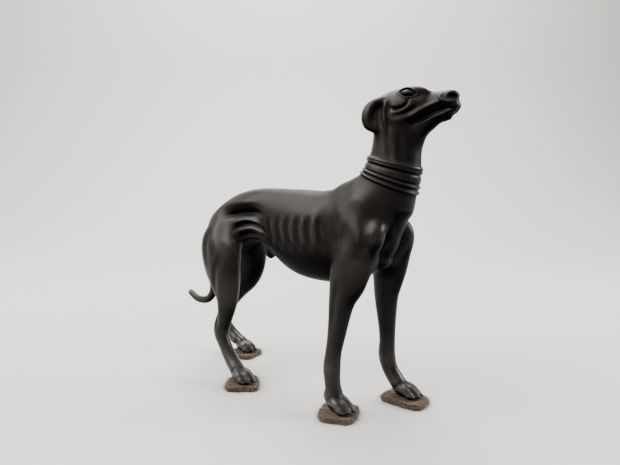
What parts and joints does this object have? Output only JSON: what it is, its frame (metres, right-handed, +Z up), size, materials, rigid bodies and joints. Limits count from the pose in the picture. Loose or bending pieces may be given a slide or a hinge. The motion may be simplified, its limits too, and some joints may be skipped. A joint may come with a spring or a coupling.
{
  "type": "greyhound statue",
  "caption": "Slender standing greyhound figurine with raised head, banded collar and curled tail, its paws on small felt pads.",
  "frame": {"origin": "middle of the figure's outline on the surface that the felt pads stand on", "axes": "+X the way the dog faces, +Y the dog's left, +Z up"},
  "size_m": [0.2014, 0.0652, 0.169],
  "materials": {
    "bronze": "dark brown-black patinated bronze, satin",
    "felt": "brown wool felt, hand-cut with fuzzy edges"
  },
  "bodies": {
    "root": {"greyhound": "bronze", "felt_pad_front_right": "felt", "felt_pad_front_left": "felt", "felt_pad_hind_right": "felt", "felt_pad_hind_left": "felt"}
  },
  "joints": []
}
